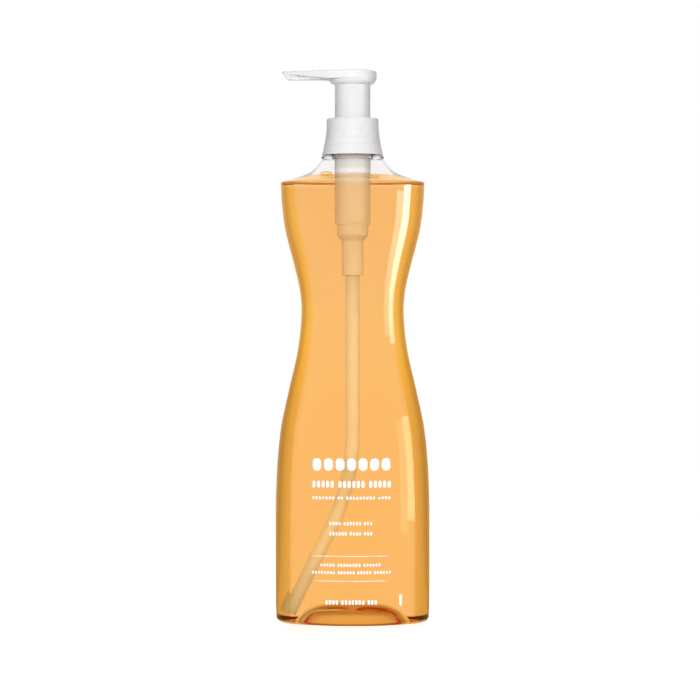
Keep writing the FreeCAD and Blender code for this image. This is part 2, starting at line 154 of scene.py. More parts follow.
def makeWorld(spec):
    # white for the camera and a low even light for matt surfaces
    world = bpy.data.worlds.new("studio")
    scene.world = world
    world.use_nodes = True
    tree = world.node_tree
    tree.nodes.clear()
    path = addNode(tree, "ShaderNodeLightPath").outputs
    direction = addNode(tree, "ShaderNodeTexCoord").outputs["Generated"]
    split = addNode(tree, "ShaderNodeSeparateXYZ", {"Vector": direction}).outputs
    level = roomLevel(tree, split["Y"], path, spec, spec["ambient"])
    level = addNode(tree, "ShaderNodeMix", {"Factor": path["Is Camera Ray"], "A": level, "B": 1.0},
                    data_type="FLOAT").outputs["Result"]
    light = addNode(tree, "ShaderNodeBackground", {"Color": (1, 1, 1, 1), "Strength": level})
    addNode(tree, "ShaderNodeOutputWorld", {"Surface": light.outputs[0]})


def makeFloor(spec):
    half = spec["floorHalf"]
    mesh = bpy.data.meshes.new("floor")
    mesh.from_pydata([(-half, -half, 0), (half, -half, 0), (half, half, 0), (-half, half, 0)], [], [(0, 1, 2, 3)])
    floor = bpy.data.objects.new("floor", mesh)
    scene.collection.objects.link(floor)
    material, tree = newMaterial("paleFloor")
    path = addNode(tree, "ShaderNodeLightPath").outputs
    matt = addNode(tree, "ShaderNodeBsdfPrincipled",
                   {"Base Color": spec["floorColour"], "Roughness": 0.45, "Specular IOR Level": 0.25})
    lift = addNode(tree, "ShaderNodeMath", {0: path["Is Camera Ray"], 1: spec["floorLift"]},
                   operation="MULTIPLY").outputs[0]
    own = addNode(tree, "ShaderNodeEmission", {"Color": (1, 1, 1, 1), "Strength": lift})
    near = addNode(tree, "ShaderNodeAddShader", {0: matt.outputs[0], 1: own.outputs[0]})
    even = addNode(tree, "ShaderNodeMix", {"Factor": path["Is Camera Ray"], "A": spec["ambient"], "B": 1.0},
                   data_type="FLOAT").outputs["Result"]
    plain = addNode(tree, "ShaderNodeEmission", {"Color": (1, 1, 1, 1), "Strength": even})
    place = addNode(tree, "ShaderNodeTexCoord").outputs["Object"]
    reach = addNode(tree, "ShaderNodeVectorMath", {0: place}, operation="LENGTH").outputs["Value"]
    share = addNode(tree, "ShaderNodeMapRange",
                    {"Value": reach, "From Min": spec["plainFrom"], "From Max": spec["plainTo"]},
                    interpolation_type="SMOOTHSTEP").outputs["Result"]
    mixed = addNode(tree, "ShaderNodeMixShader", {0: share, 1: near.outputs[0], 2: plain.outputs[0]})
    # mirrored and bent views of it are as bright as the room in that direction
    outward = addNode(tree, "ShaderNodeVectorMath", {0: place}, operation="NORMALIZE").outputs["Vector"]
    backward = addNode(tree, "ShaderNodeSeparateXYZ", {"Vector": outward}).outputs["Y"]
    level = roomLevel(tree, backward, path, spec, 1.0)
    room = addNode(tree, "ShaderNodeEmission", {"Color": (1, 1, 1, 1), "Strength": level})
    bent = addNode(tree, "ShaderNodeMath", {0: path["Is Glossy Ray"], 1: path["Is Transmission Ray"]},
                   operation="MAXIMUM").outputs[0]
    whole = addNode(tree, "ShaderNodeMixShader", {0: bent, 1: mixed.outputs[0], 2: room.outputs[0]})
    output(tree, whole.outputs[0])
    mesh.materials.append(material)


lamps = [
    # name, place, target, width, height, watts, seen by gloss, lights matt surfaces
    ("frontSoftbox", (0.0, -1.75, 0.45), (0, 0, 0.14), 0.8, 0.8, 30.0, False, True),
    ("rightStrip", (0.410, -0.189, 0.115), (0.025, -0.022, 0.115), 0.081, 0.19, 0.60, True, False),
    ("rightSoft", (0.375, -0.254, 0.105), (0.025, -0.022, 0.105), 0.066, 0.19, 0.16, True, False),
    ("backSoftbox", (0.0, 1.60, 0.50), (0, 0, 0.14), 0.8, 0.8, 18.0, False, True),
    ("topSoftbox", (0.0, -0.1, 1.3), (0, 0, 0.1), 0.8, 0.7, 3.0, True, True),
]


def makeLamp(name, place, target, width, height, watts, inGloss, inMatt):
    data = bpy.data.lights.new(name, "AREA")
    data.shape = "RECTANGLE"
    data.size = width
    data.size_y = height
    data.energy = watts
    lamp = bpy.data.objects.new(name, data)
    scene.collection.objects.link(lamp)
    lamp.location = place
    lamp.visible_camera = False
    lamp.visible_glossy = inGloss
    lamp.visible_transmission = False
    lamp.visible_diffuse = inMatt
    aim = Vector(target) - Vector(place)
    lamp.rotation_euler = aim.to_track_quat("-Z", "Y").to_euler()


makeWorld(studio)
makeFloor(studio)
for lampSpec in lamps:
    makeLamp(*lampSpec)
print("camera, floor and lamps ready")


def hermite(places, values, at):
    # a smooth cubic through the values; each slope is that of the line between the neighbours
    places = np.asarray(places, float)
    values = np.asarray(values, float)
    last = len(places) - 1
    low = np.maximum(np.arange(last + 1) - 1, 0)
    high = np.minimum(np.arange(last + 1) + 1, last)
    slopes = (values[high] - values[low]) / (places[high] - places[low])
    i = np.clip(np.searchsorted(places, at, side="right") - 1, 0, last - 1)
    span = places[i + 1] - places[i]
    t = (at - places[i]) / span
    ends = values[i] * (2 * t**3 - 3 * t**2 + 1) + values[i + 1] * (3 * t**2 - 2 * t**3)
    bends = slopes[i] * (t**3 - 2 * t**2 + t) + slopes[i + 1] * (t**3 - t**2)
    return ends + bends * span


def pieceFrom(name, points, faces, material, body, smooth=True):
    mesh = bpy.data.meshes.new(name)
    mesh.from_pydata(np.asarray(points).reshape(-1, 3).tolist(), [], [f.tolist() for f in faces])
    mesh.polygons.foreach_set("use_smooth", np.full(len(mesh.polygons), smooth))
    mesh.materials.append(material)
    mesh.validate()
    piece = bpy.data.objects.new(name, mesh)
    scene.collection.objects.link(piece)
    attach(piece, body)
    return piece


def ringFaces(rows, columns, offset=0, closedRows=False):
    # quads between neighbouring rings of points, wrapped round
    r = np.arange(rows if closedRows else rows - 1)[:, None]
    c = np.arange(columns)[None, :]
    nextRow = (r + 1) % rows
    nextColumn = (c + 1) % columns
    quads = np.stack([r * columns + c, r * columns + nextColumn,
                      nextRow * columns + nextColumn, nextRow * columns + c], axis=-1)
    return quads.reshape(-1, 4) + offset


def poleFaces(ring, pole):
    return np.stack([ring, np.roll(ring, -1), np.full(len(ring), pole)], axis=-1)


def outwards(points, faces):
    # turns every face over when the closed shape holds a negative volume
    total = 0.0
    for group in faces:
        corner = points[group[:, 0]]
        for k in range(1, group.shape[1] - 1):
            total += np.einsum("ij,ij->", corner, np.cross(points[group[:, k]], points[group[:, k + 1]]))
    return [group[:, ::-1] for group in faces] if total < 0 else faces


def closedShell(rings, firstPole=None, lastPole=None, loop=False):
    # rings is rows x columns x 3; each end is closed by a pole, or the rows join up in a loop
    rows, columns = rings.shape[:2]
    points = rings.reshape(-1, 3)
    faces = [ringFaces(rows, columns, closedRows=loop)]
    if firstPole is not None:
        points = np.vstack([points, firstPole])
        faces.append(poleFaces(np.arange(columns)[::-1], len(points) - 1))
    if lastPole is not None:
        points = np.vstack([points, lastPole])
        faces.append(poleFaces(np.arange(columns) + (rows - 1) * columns, len(points) - 1))
    return points, [face for group in outwards(points, faces) for face in group]


def closedRings(name, rings, material, body, firstPole=None, lastPole=None, loop=False, smooth=True):
    points, faces = closedShell(rings, firstPole, lastPole, loop)
    return pieceFrom(name, points, faces, material, body, smooth)


def crisp(corners, edge, closed=False):
    # each corner of a line gives way to two points close to it, so that smooth shading keeps the corner
    corners = np.asarray(corners, float)
    inner = corners if closed else corners[1:-1]
    before = np.roll(corners, 1, axis=0) if closed else corners[:-2]
    after = np.roll(corners, -1, axis=0) if closed else corners[2:]
    toBefore = (before - inner) / np.linalg.norm(before - inner, axis=1, keepdims=True)
    toAfter = (after - inner) / np.linalg.norm(after - inner, axis=1, keepdims=True)
    pairs = np.stack([inner + edge * toBefore, inner + edge * toAfter], axis=1).reshape(-1, corners.shape[1])
    return pairs if closed else np.vstack([corners[:1], pairs, corners[-1:]])


bottle = {
    "columns": 224,
    "height": [0, 34, 68, 92, 111, 130, 147, 158, 168.7, 188, 202, 211],
    "halfWidth": [37.3, 37.45, 37.0, 35.0, 31.1, 26.8, 25.0, 25.6, 27.9, 32.8, 34.5, 34.9],
    "halfDepth": [28.5, 28.7, 28.4, 26.9, 24.0, 21.1, 19.9, 20.3, 21.8, 25.1, 26.3, 26.6],
    "creaseRadius": 5.0,
    "creaseStart": math.radians(34),
    "creaseEnd": math.radians(50),
    "heelRadius": 2.4,
    "edgeRadius": 0.9,
    "edgeTurn": math.radians(77.5),
    "shoulderWidth": [34.9, 30.4, 26.9, 23.4, 19.6, 16.7, 14.3],
    "shoulderRise": [0, 1.0, 1.9, 2.9, 4.9, 7.9, 10.9],
    "wall": 0.7,
    "baseWall": 1.2,
    "pushWidth": [1.5, 6.0, 14.0, 19.4, 22.6, 24.5],
    "pushDepth": [0.9, 3.6, 8.4, 12.0, 14.8, 16.5],
    "pushHeight": [9.3, 9.2, 8.0, 5.6, 2.2, 0.0],
    "ringRadius": 14.95,
    "ringTop": 223.1,
    "neckRadius": 10.9,
    "boreRadius": 9.8,
    "mouth": 237.6,
}


def sectionRings(width, depth, blend, height, columns):
    # The outline at each height: arcs that meet smoothly, found from the direction the surface faces.
    # A point is its arc's centre plus its radius times (sin t, cos t), and the quarter is mirrored.
    a = bottle["creaseStart"]
    b = bottle["creaseEnd"]
    w, d, c, z = (np.asarray(v, float)[:, None] for v in (width, depth, blend, height))
    turn = np.linspace(0, 2 * math.pi, columns, endpoint=False)[None, :]
    t = np.arctan2(np.abs(np.sin(turn)), np.abs(np.cos(turn)))
    wide = w - c * (math.sin(b) - math.sin(a))
    deep = d - c * (math.cos(a) - math.cos(b))
    det = math.sin(a) * math.cos(b) - (1 - math.sin(b)) * (1 - math.cos(a))
    panel = (wide * math.cos(b) - deep * (1 - math.sin(b))) / det
    side = (deep * math.sin(a) - wide * (1 - math.cos(a))) / det
    centreX = np.where(t < a, 0, np.where(t < b, (panel - c) * math.sin(a), w - side))
    centreY = np.where(t < a, d - panel, np.where(t < b, d - panel + (panel - c) * math.cos(a), 0))
    radius = np.where(t < a, panel, np.where(t < b, c, side))
    x = np.sign(np.sin(turn)) * (centreX + radius * np.sin(t))
    y = np.sign(np.cos(turn)) * (centreY + radius * np.cos(t))
    x = np.where(np.abs(np.sin(turn)) < 1e-9, 0, x)
    y = np.where(np.abs(np.cos(turn)) < 1e-9, 0, y)
    return np.stack([x, y, z + 0 * x], axis=-1)


def bodyProfile():
    # Rows of (half width, half depth, crease radius, height) of the outside, from the middle of the base to the neck.
    b = bottle
    crease = b["creaseRadius"]
    baseWide, baseDeep = b["halfWidth"][0], b["halfDepth"][0]
    topWide, topDeep, topHeight = b["halfWidth"][-1], b["halfDepth"][-1], b["height"][-1]
    root = b["shoulderWidth"][-1]
    steps = np.linspace(0, 5, 26)
    place = np.arange(6)
    push = np.stack([hermite(place, bottle["pushWidth"], steps), hermite(place, bottle["pushDepth"], steps),
                     0.6 * hermite(place, bottle["pushDepth"], steps),
                     hermite(place, bottle["pushHeight"], steps)], axis=1)
    heel = bottle["heelRadius"]
    share = np.linspace(0, 1, 8)[1:-1, None]
    stand = push[-1] + share * (np.array([baseWide - heel, baseDeep - heel, crease - heel, 0]) - push[-1])
    turn = np.linspace(0, math.pi / 2, 9)
    back = heel * (1 - np.sin(turn))
    heelRows = np.stack([baseWide - back, baseDeep - back, crease - back, heel * (1 - np.cos(turn))], axis=1)
    edge = bottle["edgeRadius"]
    lean = bottle["edgeTurn"]
    top = topHeight - edge * math.tan(lean / 2)
    z = np.linspace(heel, top, 112)[1:-1]
    body = np.stack([hermite(bottle["height"], bottle["halfWidth"], z),
                     hermite(bottle["height"], bottle["halfDepth"], z), crease + 0 * z, z], axis=1)
    turn = np.linspace(0, lean, 7)
    back = edge * (1 - np.cos(turn))
    rim = np.stack([topWide - back, topDeep - back, crease - back, top + edge * np.sin(turn)], axis=1)
    steps = np.linspace(0.14, 6, 30)[1:]
    width = hermite(np.arange(7), bottle["shoulderWidth"], steps)
    rise = hermite(np.arange(7), bottle["shoulderRise"], steps)
    inward = (topWide - width) / (topWide - root)
    shoulder = np.stack([width, topDeep + inward * (root - topDeep), crease + inward * (root - crease),
                         topHeight + rise], axis=1)
    return np.vstack([push, stand, heelRows, body, rim, shoulder])


def movedIn(profile, amount):
    # every row moved square to the surface by its amount
    along = np.gradient(profile[:, [0, 3]], axis=0)
    along /= np.linalg.norm(along, axis=1, keepdims=True)
    moved = profile.copy()
    moved[:, :3] -= (along[:, 1] * amount)[:, None]
    moved[:, 3] += along[:, 0] * amount
    return moved


def roundRows(pairs):
    # rows of circles from (radius, height) pairs
    pairs = np.asarray(pairs, float)
    return np.stack([pairs[:, 0], pairs[:, 0], pairs[:, 0], pairs[:, 1]], axis=1)


def cornerArc(centre, radius, start, end, count=5):
    turn = np.radians(np.linspace(start, end, count))
    return np.stack([centre[0] + radius * np.cos(turn), centre[1] + radius * np.sin(turn)], axis=1)


outsideProfile = bodyProfile()


def makeBottle(material, neckMaterial):
    b = bottle
    # base wall thicker than the sides, with a smooth change over the heel
    thick = np.interp(outsideProfile[:, 3], [3, 9], [b["baseWall"], b["wall"]])
    thick[:34] = b["baseWall"]
    inside = movedIn(outsideProfile, thick)
    inside = inside[inside[:, 0] > 0.4]
    ringTop = b["ringTop"]
    neck = np.vstack([
        cornerArc((b["ringRadius"] - 0.25, 222.15), 0.25, -90, 0),
        cornerArc((b["ringRadius"] - 0.25, ringTop - 0.25), 0.25, 0, 90),
        cornerArc((b["neckRadius"] + 0.3, ringTop + 0.3), 0.3, 270, 180),
        np.stack([np.full(12, b["neckRadius"]), np.linspace(ringTop + 1, b["mouth"] - 0.4, 12)], axis=1),
        cornerArc((b["neckRadius"] - 0.35, b["mouth"] - 0.35), 0.35, 0, 90),
        cornerArc((b["boreRadius"] + 0.25, b["mouth"] - 0.25), 0.25, 90, 180),
        np.stack([np.full(12, b["boreRadius"]), np.linspace(b["mouth"] - 0.8, 222.4, 12)], axis=1),
        cornerArc((b["boreRadius"] + 0.7, 222.2), 0.7, 180, 270),
        [(12.2, 221.4)],
    ])
    rows = np.vstack([outsideProfile, roundRows(neck), inside[::-1]])
    rings = sectionRings(rows[:, 0], rows[:, 1], rows[:, 2], rows[:, 3], b["columns"]) * mm
    piece = closedRings("bottleShell", rings, material, "bottle_body",
                        firstPole=(0, 0, 9.3 * mm), lastPole=(0, 0, 10.5 * mm))
    # the ring and neck are thick enough to bend light; their material paints the shade that this gives
    piece.data.materials.append(neckMaterial)
    row = np.arange(len(rows) - 1).repeat(b["columns"])
    slot = np.zeros(len(piece.data.polygons), int)
    slot[:len(row)] = (row >= len(outsideProfile)) & (row < len(outsideProfile) + len(neck) - 1)
    piece.data.polygons.foreach_set("material_index", slot)
    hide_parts("bottle")
    return piece


soap = {
    "level": 213.5,
    "intoWall": 0.45,            # where the soap's face is seen, inside the wall
    "baseInto": 0.7,
    "meniscus": 0.3,
    "meniscusReach": 1.1,
    "ior": 1.31,
    "surface": (1.0, 0.764, 0.458, 1),
    "slantedShade": (1.0, 0.72, 0.245, 1),    # painted shade where the face turns away at the sides
    # painted shade, darker still below the waist
    "slantedLowShade": (0.87, 0.62, 0.24, 1),
    "flat": (1.0, 0.90, 0.72, 1),        # painted light: a lighter tint on the level and the shoulder
    "flatLow": (0.82, 0.71, 0.48, 1),    # painted shade: a darker tint at the base
    "brimLit": (1.0, 0.90, 0.70, 1),        # painted light: a lighter tint under the shoulder, where the face is met several times
    "push": (0.93, 0.82, 0.60, 1),       # painted light on the push-up, where light is caught between its steep sides
    "pushReach": 0.0245,
    "pushRatio": 1.45,
    "lampTint": (1.0, 1.0, 0.98, 1),
    "density": 10.0,
    "tint": (1.0, 0.70, 0.20, 1),
}


def makeSoap(material):
    # the bottle's inside up to the level, and the level with its edge drawn up the wall
    amount = np.interp(outsideProfile[:, 3], [3, 9], [soap["baseInto"], soap["intoWall"]])
    amount[:34] = soap["baseInto"]
    side = movedIn(outsideProfile, amount)
    side = side[side[:, 0] > 0.4]
    bank = soap["level"] + soap["meniscus"]
    side = side[(side[:, 3] < bank - 0.15) | (np.arange(len(side)) < 40)]
    # the row where the bank meets the wall
    full = movedIn(outsideProfile, amount)[100:]
    touch = np.array([np.interp(bank, full[:, 3], full[:, k]) for k in range(4)])
    off = np.array([0.15, 0.4, 0.8, 1.3, 2.0, 3.0, 4.5, 7.0, 11.0, 16.0, 21.0])
    scaleOut = (touch[0] - off) / touch[0]
    level = np.stack([touch[0] - off, touch[1] * scaleOut, touch[2] * scaleOut,
                      soap["level"] + soap["meniscus"] * np.exp(-off / soap["meniscusReach"])], axis=1)
    rows = np.vstack([side, touch, level])
    rings = sectionRings(rows[:, 0], rows[:, 1], rows[:, 2], rows[:, 3], bottle["columns"]) * mm
    piece = closedRings("soapFill", rings, material, "bottle_body",
                        firstPole=(0, 0, (9.3 + soap["baseInto"]) * mm), lastPole=(0, 0, soap["level"] * mm))
    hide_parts("soap")
    return piece


clearWall = {
    "square": 0.042,             # share of light that one skin mirrors, seen square and at a slant
    "slant": 0.10,
    "lowGloss": 0.05,            # how much less the body mirrors below the waist
    "edge": (0.42, 0.42, 0.43, 1),       # painted shade: a dark outline on the dry shoulder, where light runs along the wall
    "dryFrom": 0.2120,
}


def clearPlastic():
    # thin clear wall: what is behind shows straight through, and the skin mirrors more at a slant
    material, tree = newMaterial("clearBottlePlastic")
    ripple = objectNoise(tree, 45, 1.0, (1, 1, 0.45))
    normal = bumpFrom(tree, ripple, 0.00012)
    mirror = addNode(tree, "ShaderNodeBsdfGlossy", {"Color": (1, 1, 1, 1), "Roughness": 0.04, "Normal": normal})
    slant = addNode(tree, "ShaderNodeLayerWeight", {"Normal": normal}).outputs["Facing"]
    place = addNode(tree, "ShaderNodeTexCoord").outputs["Object"]
    height = addNode(tree, "ShaderNodeSeparateXYZ", {"Vector": place}).outputs["Z"]
    dry = addNode(tree, "ShaderNodeMapRange",
                  {"Value": height, "From Min": clearWall["dryFrom"], "From Max": clearWall["dryFrom"] + 0.002}).outputs["Result"]
    # painted shade: above the soap the see-through colour turns to the dark edge tone at a slant
    rim = addNode(tree, "ShaderNodeMapRange", {"Value": slant, "From Min": 0.80, "From Max": 0.97},
                  interpolation_type="SMOOTHSTEP").outputs["Result"]
    rim = addNode(tree, "ShaderNodeMath", {0: rim, 1: dry}, operation="MULTIPLY").outputs[0]
    seen = addNode(tree, "ShaderNodeMix", {"A": (1, 1, 1, 1), "B": clearWall["edge"], "Factor": rim},
                   data_type="RGBA").outputs["Result"]
    through = addNode(tree, "ShaderNodeBsdfTransparent", {"Color": seen})
    steep = addNode(tree, "ShaderNodeMath", {0: slant, 1: 5.0}, operation="POWER").outputs[0]
    share = addNode(tree, "ShaderNodeMapRange",
                    {"Value": steep, "To Min": clearWall["square"], "To Max": clearWall["slant"]}).outputs["Result"]
    gloss = addNode(tree, "ShaderNodeMapRange",
                    {"Value": height, "From Min": 0.12, "From Max": 0.20, "To Min": clearWall["lowGloss"]}).outputs["Result"]
    share = addNode(tree, "ShaderNodeMath", {0: share, 1: gloss}, operation="MULTIPLY").outputs[0]
    mixed = addNode(tree, "ShaderNodeMixShader", {0: share, 1: through.outputs[0], 2: mirror.outputs[0]})
    output(tree, mixed.outputs[0])
    return material


def byHeight(tree, low, high, below, above):
    # one colour up to a height over the table, another from the next height on
    place = addNode(tree, "ShaderNodeTexCoord").outputs["Object"]
    height = addNode(tree, "ShaderNodeSeparateXYZ", {"Vector": place}).outputs["Z"]
    share = addNode(tree, "ShaderNodeMapRange", {"Value": height, "From Min": low, "From Max": high}).outputs["Result"]
    return addNode(tree, "ShaderNodeMix", {"A": below, "B": above, "Factor": share}, data_type="RGBA").outputs["Result"]


def uprightShare(tree):
    # 1 on walls that stand up, 0 on the shoulder, the level and the base
    normal = addNode(tree, "ShaderNodeTexCoord").outputs["Normal"]
    lift = addNode(tree, "ShaderNodeSeparateXYZ", {"Vector": normal}).outputs["Z"]
    lift = addNode(tree, "ShaderNodeMath", {0: lift}, operation="ABSOLUTE").outputs[0]
    return addNode(tree, "ShaderNodeMapRange", {"Value": lift, "From Min": 0.8, "From Max": 0.5}).outputs["Result"]


def outsidePush(tree, spec):
    # 0 on the push-up under the base and 1 elsewhere: by reach from the axis in the plan, and by height
    place = addNode(tree, "ShaderNodeTexCoord").outputs["Object"]
    plan = addNode(tree, "ShaderNodeVectorMath", {0: place, 1: (1, spec["pushRatio"], 0)}, operation="MULTIPLY")
    reach = addNode(tree, "ShaderNodeVectorMath", {0: plan.outputs[0]}, operation="LENGTH").outputs["Value"]
    wide = addNode(tree, "ShaderNodeMapRange", {"Value": reach, "From Min": spec["pushReach"] - 0.001,
                                                "From Max": spec["pushReach"] + 0.001}).outputs["Result"]
    height = addNode(tree, "ShaderNodeSeparateXYZ", {"Vector": place}).outputs["Z"]
    high = addNode(tree, "ShaderNodeMapRange", {"Value": height, "From Min": 0.0105, "From Max": 0.0120}).outputs["Result"]
    return addNode(tree, "ShaderNodeMath", {0: wide, 1: high}, operation="MAXIMUM").outputs[0]


def thickClear():
    # solid clear plastic of the ring and neck: painted shade in its see-through colour, darker where its upright faces
    # turn away, grey through its flat ones
    material, tree = newMaterial("clearNeckPlastic")
    normal = bumpFrom(tree, objectNoise(tree, 180, 1.0), 0.00005)
    slant = addNode(tree, "ShaderNodeLayerWeight", {"Normal": normal}).outputs["Facing"]
    rim = addNode(tree, "ShaderNodeMapRange", {"Value": slant, "From Min": 0.38, "From Max": 0.75},
                  interpolation_type="SMOOTHSTEP").outputs["Result"]
    wallShade = addNode(tree, "ShaderNodeMix", {"A": (0.97, 0.97, 0.97, 1), "B": (0.20, 0.20, 0.21, 1), "Factor": rim},
                    data_type="RGBA").outputs["Result"]
    seen = addNode(tree, "ShaderNodeMix", {"A": (0.80, 0.80, 0.80, 1), "B": wallShade, "Factor": uprightShare(tree)},
                   data_type="RGBA").outputs["Result"]
    through = addNode(tree, "ShaderNodeBsdfTransparent", {"Color": seen})
    mirror = addNode(tree, "ShaderNodeBsdfGlossy", {"Color": (1, 1, 1, 1), "Roughness": 0.05, "Normal": normal})
    steep = addNode(tree, "ShaderNodeMath", {0: slant, 1: 5.0}, operation="POWER").outputs[0]
    share = addNode(tree, "ShaderNodeMapRange", {"Value": steep, "To Min": 0.04, "To Max": 0.5}).outputs["Result"]
    mixed = addNode(tree, "ShaderNodeMixShader", {0: share, 1: through.outputs[0], 2: mirror.outputs[0]})
    output(tree, mixed.outputs[0])
    return material


def amberSoap():
    # clear liquid that takes out blue and some green along the way; its glass colour carries painted shade where the
    # faces turn away at the sides and low down, and painted light on the level, the shoulder, under the shoulder and on
    # the push-up
    material, tree = newMaterial("amberSoap")
    facing = addNode(tree, "ShaderNodeLayerWeight").outputs["Facing"]
    turned = addNode(tree, "ShaderNodeMapRange", {"Value": facing, "From Min": 0.14, "From Max": 0.27},
                     interpolation_type="SMOOTHSTEP").outputs["Result"]
    upright = uprightShare(tree)
    turned = addNode(tree, "ShaderNodeMath", {0: turned, 1: upright}, operation="MULTIPLY").outputs[0]
    # painted light on the level and the shoulder, painted shade on the base
    flat = byHeight(tree, 0.012, 0.030, soap["flatLow"], soap["flat"])
    # painted shade where the faces turn away, darker below the waist
    slantedShade = byHeight(tree, 0.085, 0.130, soap["slantedLowShade"], soap["slantedShade"])
    square = addNode(tree, "ShaderNodeMix", {"A": flat, "B": soap["surface"], "Factor": upright},
                     data_type="RGBA").outputs["Result"]
    colour = addNode(tree, "ShaderNodeMix", {"A": square, "B": slantedShade, "Factor": turned},
                     data_type="RGBA").outputs["Result"]
    # painted light along the soap's top edge, under the shoulder
    colour = byHeight(tree, 0.2088, 0.2105, colour, soap["brimLit"])
    # painted light on the push-up
    colour = addNode(tree, "ShaderNodeMix", {"A": soap["push"], "B": colour, "Factor": outsidePush(tree, soap)},
                     data_type="RGBA").outputs["Result"]
    body = addNode(tree, "ShaderNodeBsdfGlass", {"Color": colour, "Roughness": 0.0, "IOR": soap["ior"]})
    through = addNode(tree, "ShaderNodeBsdfTransparent", {"Color": soap["lampTint"]})
    path = addNode(tree, "ShaderNodeLightPath").outputs
    mixed = addNode(tree, "ShaderNodeMixShader", {0: path["Is Shadow Ray"], 1: body.outputs[0], 2: through.outputs[0]})
    depth = addNode(tree, "ShaderNodeVolumeAbsorption", {"Color": soap["tint"], "Density": soap["density"]})
    output(tree, mixed.outputs[0], depth.outputs[0])
    return material


threadLines = {"pitch": 0.003175, "bottom": 0.2262, "top": 0.2340, "depth": 0.055}


def threadShadows(tree, tone, spec):
    # the thread inside shows through as faint sloping lines: a wave in height and angle, between two heights
    place = addNode(tree, "ShaderNodeTexCoord").outputs["Object"]
    split = addNode(tree, "ShaderNodeSeparateXYZ", {"Vector": place}).outputs
    angle = addNode(tree, "ShaderNodeMath", {0: split["Y"], 1: split["X"]}, operation="ARCTAN2").outputs[0]
    rise = addNode(tree, "ShaderNodeMath", {0: split["Z"], 1: 2 * math.pi / spec["pitch"]}, operation="MULTIPLY").outputs[0]
    phase = addNode(tree, "ShaderNodeMath", {0: rise, 1: angle}, operation="SUBTRACT").outputs[0]
    wave = addNode(tree, "ShaderNodeMath", {0: phase}, operation="SINE").outputs[0]
    line = addNode(tree, "ShaderNodeMapRange", {"Value": wave, "From Min": 0.35, "From Max": 0.95}).outputs["Result"]
    above = addNode(tree, "ShaderNodeMath", {0: split["Z"], 1: spec["bottom"]}, operation="GREATER_THAN").outputs[0]
    below = addNode(tree, "ShaderNodeMath", {0: split["Z"], 1: spec["top"]}, operation="LESS_THAN").outputs[0]
    line = addNode(tree, "ShaderNodeMath", {0: line, 1: above}, operation="MULTIPLY").outputs[0]
    line = addNode(tree, "ShaderNodeMath", {0: line, 1: below}, operation="MULTIPLY").outputs[0]
    line = addNode(tree, "ShaderNodeMath", {0: line, 1: spec["depth"]}, operation="MULTIPLY").outputs[0]
    return addNode(tree, "ShaderNodeMix", {"A": tone, "B": (0.35, 0.35, 0.36, 1), "Factor": line},
                   data_type="RGBA").outputs["Result"]


def mouldedPlastic(name, colour, roughness, translucent=0.0, grain=1.0, clear=0.0, clearDry=0.0, shadows=None,
                   tipShade=None):
    # moulded plastic: faint cloudiness, uneven polish and a fine orange-peel skin
    # clearDry is what shows through above the soap, where no liquid lies on the wall
    # the spout's tone argument is painted shade: the colour darkens to it along the spout towards the tip
    material, tree = newMaterial(name)
    cloud = objectNoise(tree, 70, 3.0)
    skin = objectNoise(tree, 900, 2.0)
    low = [c * 0.965 for c in colour[:3]] + [1]
    tone = addNode(tree, "ShaderNodeMix", {"A": low, "B": colour, "Factor": spread(tree, cloud, 0, 1)}, data_type="RGBA")
    tone = tone.outputs["Result"]
    if shadows:
        tone = threadShadows(tree, tone, shadows)
    if tipShade:
        place = addNode(tree, "ShaderNodeTexCoord").outputs["Object"]
        along = addNode(tree, "ShaderNodeSeparateXYZ", {"Vector": place}).outputs["X"]
        share = addNode(tree, "ShaderNodeMapRange", {"Value": along, "From Min": -0.008, "From Max": -0.024}).outputs["Result"]
        tone = addNode(tree, "ShaderNodeMix", {"A": tone, "B": tipShade, "Factor": share}, data_type="RGBA").outputs["Result"]
    polish = spread(tree, objectNoise(tree, 140, 4.0), roughness - 0.05, roughness + 0.07)
    normal = bumpFrom(tree, skin, 0.000006 * grain)
    body = addNode(tree, "ShaderNodeBsdfPrincipled",
                   {"Base Color": tone, "Roughness": polish, "IOR": 1.49, "Normal": normal})
    surface = body.outputs[0]
    if translucent:
        glow = addNode(tree, "ShaderNodeBsdfTranslucent", {"Color": tone, "Normal": normal})
        surface = addNode(tree, "ShaderNodeMixShader", {0: translucent, 1: surface, 2: glow.outputs[0]}).outputs[0]
    if clear:
        through = addNode(tree, "ShaderNodeBsdfTransparent", {"Color": (1, 1, 1, 1)})
        share = clear
        if clearDry:
            place = addNode(tree, "ShaderNodeTexCoord").outputs["Object"]
            height = addNode(tree, "ShaderNodeSeparateXYZ", {"Vector": place}).outputs["Z"]
            level = soap["level"] * mm
            share = addNode(tree, "ShaderNodeMapRange",
                            {"Value": height, "From Min": level, "From Max": level + 0.0005,
                             "To Min": clear, "To Max": clearDry}).outputs["Result"]
        surface = addNode(tree, "ShaderNodeMixShader", {0: share, 1: surface, 2: through.outputs[0]}).outputs[0]
    output(tree, surface)
    return material


def springSteel(name, colour, roughness, scale):
    material, tree = newMaterial(name)
    drawn = objectNoise(tree, scale, 3.0)
    polish = spread(tree, drawn, roughness - 0.06, roughness + 0.1)
    body = addNode(tree, "ShaderNodeBsdfPrincipled",
                   {"Base Color": colour, "Metallic": 1.0, "Roughness": polish, "Normal": bumpFrom(tree, drawn, 0.000008)})
    output(tree, body.outputs[0])
    return material


def printInk():
    material, tree = newMaterial("whitePrintInk")
    speck = objectNoise(tree, 1800, 3.0)
    tone = addNode(tree, "ShaderNodeMix", {"A": (0.86, 0.84, 0.79, 1), "B": (0.96, 0.95, 0.93, 1),
                                           "Factor": spread(tree, speck, 0, 1)}, data_type="RGBA").outputs["Result"]
    body = addNode(tree, "ShaderNodeBsdfPrincipled",
                   {"Base Color": tone, "Roughness": 0.45, "Normal": bumpFrom(tree, speck, 0.00001)})
    output(tree, body.outputs[0])
    return material


